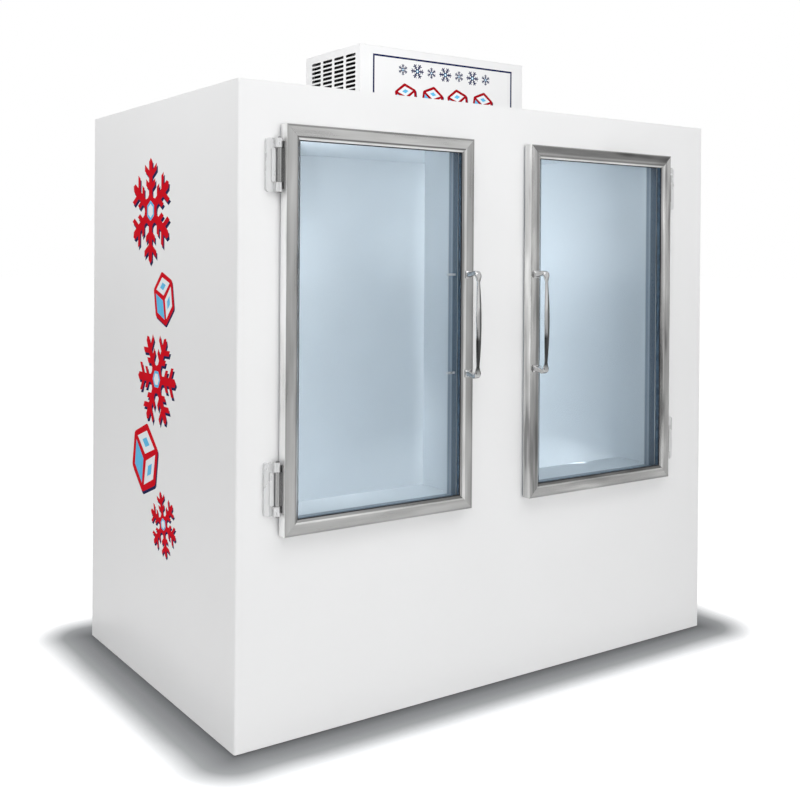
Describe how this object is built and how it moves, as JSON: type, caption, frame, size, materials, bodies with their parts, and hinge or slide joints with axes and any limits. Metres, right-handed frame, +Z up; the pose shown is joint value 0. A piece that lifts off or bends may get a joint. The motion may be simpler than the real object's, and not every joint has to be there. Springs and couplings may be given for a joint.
{
  "type": "ice merchandiser freezer",
  "caption": "Upright cold store for bagged ice with hinged glass doors and a louvred cooling unit on its roof.",
  "frame": {"origin": "on the ground under the centre of the cabinet's footprint, at the underside of the middle skid rail", "axes": "+Z up, the doors face -Y, +X to the right seen from the front"},
  "size_m": [1.854, 1.2175, 2.112],
  "materials": {
    "white_enamel": "smooth white enamel on steel sheet",
    "galvanised": "galvanised sheet",
    "foam": "rigid polyurethane foam, light",
    "lining": "pale blue-grey coated sheet",
    "slate_plastic": "dark slate plastic",
    "stainless": "satin stainless steel",
    "chrome": "polished chrome",
    "clear_glass": "clear tempered glass",
    "black_rubber": "black sealing strip",
    "grey_rubber": "grey magnetic gasket",
    "spacer_metal": "dull spacer bar",
    "coil_metal": "thin fins and tubes",
    "black_plastic": "black moulded plastic",
    "black_metal": "black painted steel",
    "copper": "copper tube",
    "white_plastic": "white plastic",
    "rack_plastic": "pale grey plastic slats",
    "light_lens": "white light cover"
  },
  "bodies": {
    "cabinet": {"front_panel": "white_enamel", "left_side_panel": "white_enamel", "right_side_panel": "white_enamel", "back_panel": "galvanised", "top_panel": "white_enamel", "base_pan": "galvanised", "skid_rails": "galvanised", "foam_front": "foam", "foam_sides": "foam", "foam_back": "foam", "foam_roof": "foam", "foam_floor": "foam", "inner_liner": "lining", "jamb_trims": "slate_plastic", "centre_post": "lining", "sill_ledge": "lining", "header_duct": "lining", "corner_posts": "lining", "floor_racks": "rack_plastic", "floor_drain": "white_plastic", "light_bars": "light_lens", "hinge_flanges": "chrome", "hinge_pins": "chrome", "evaporator_housing": "galvanised", "evaporator_coil": "coil_metal", "evaporator_motors": "black_metal", "evaporator_guards": "galvanised", "unit_base": "galvanised", "housing_cover": "white_enamel", "louvre_panels": "white_enamel", "sign_panel": "white_enamel", "compressor": "black_metal", "condenser_coil": "coil_metal", "fan_shroud": "galvanised", "condenser_motor": "black_metal", "refrigerant_lines": "copper", "control_box": "galvanised", "power_inlet": "black_plastic"},
    "left_door": {"left_door_frame": "stainless", "left_outer_pane": "clear_glass", "left_inner_pane": "clear_glass", "left_pane_spacer": "spacer_metal", "left_glazing_strip": "black_rubber", "left_door_gasket": "grey_rubber", "left_handle": "chrome", "left_hinge_leaves": "chrome"},
    "right_door": {"right_door_frame": "stainless", "right_outer_pane": "clear_glass", "right_inner_pane": "clear_glass", "right_pane_spacer": "spacer_metal", "right_glazing_strip": "black_rubber", "right_door_gasket": "grey_rubber", "right_handle": "chrome", "right_hinge_leaves": "chrome"},
    "condenser_blades": {"condenser_fan": "coil_metal"},
    "evaporator_blades_left": {"evaporator_fan_left": "black_plastic"},
    "evaporator_blades_right": {"evaporator_fan_right": "black_plastic"},
    "knob": {"thermostat_knob": "black_plastic"},
    "rocker": {"power_switch": "black_plastic"}
  },
  "joints": [
    {"name": "left_door_hinge", "type": "hinge", "parent": "cabinet", "child": "left_door", "pos_m": [-0.813, -0.581, 1.135], "axis": [0, 0, -1], "range_deg": [0, 105], "stiffness_Nm_per_rad": 1.5},
    {"name": "right_door_hinge", "type": "hinge", "parent": "cabinet", "child": "right_door", "pos_m": [0.732, -0.581, 1.135], "axis": [0, 0, 1], "range_deg": [0, 105], "stiffness_Nm_per_rad": 1.5},
    {"name": "condenser_fan_spin", "type": "hinge", "parent": "cabinet", "child": "condenser_blades", "pos_m": [0.02, 0.3505, 1.96], "axis": [1, 0, 0], "continuous": true},
    {"name": "evaporator_fan_left_spin", "type": "hinge", "parent": "cabinet", "child": "evaporator_blades_left", "pos_m": [-0.7147, 0.1855, 1.6263], "axis": [0, -1, 0], "continuous": true},
    {"name": "evaporator_fan_right_spin", "type": "hinge", "parent": "cabinet", "child": "evaporator_blades_right", "pos_m": [-0.4893, 0.1855, 1.6263], "axis": [0, -1, 0], "continuous": true},
    {"name": "thermostat_turn", "type": "hinge", "parent": "cabinet", "child": "knob", "pos_m": [0.72, 0.214, 1.87], "axis": [0, 1, 0], "range_deg": [0, 270]},
    {"name": "light_switch_rock", "type": "hinge", "parent": "cabinet", "child": "rocker", "pos_m": [0.762, 0.216, 1.87], "axis": [-1, 0, 0], "range_deg": [0, 20]}
  ]
}
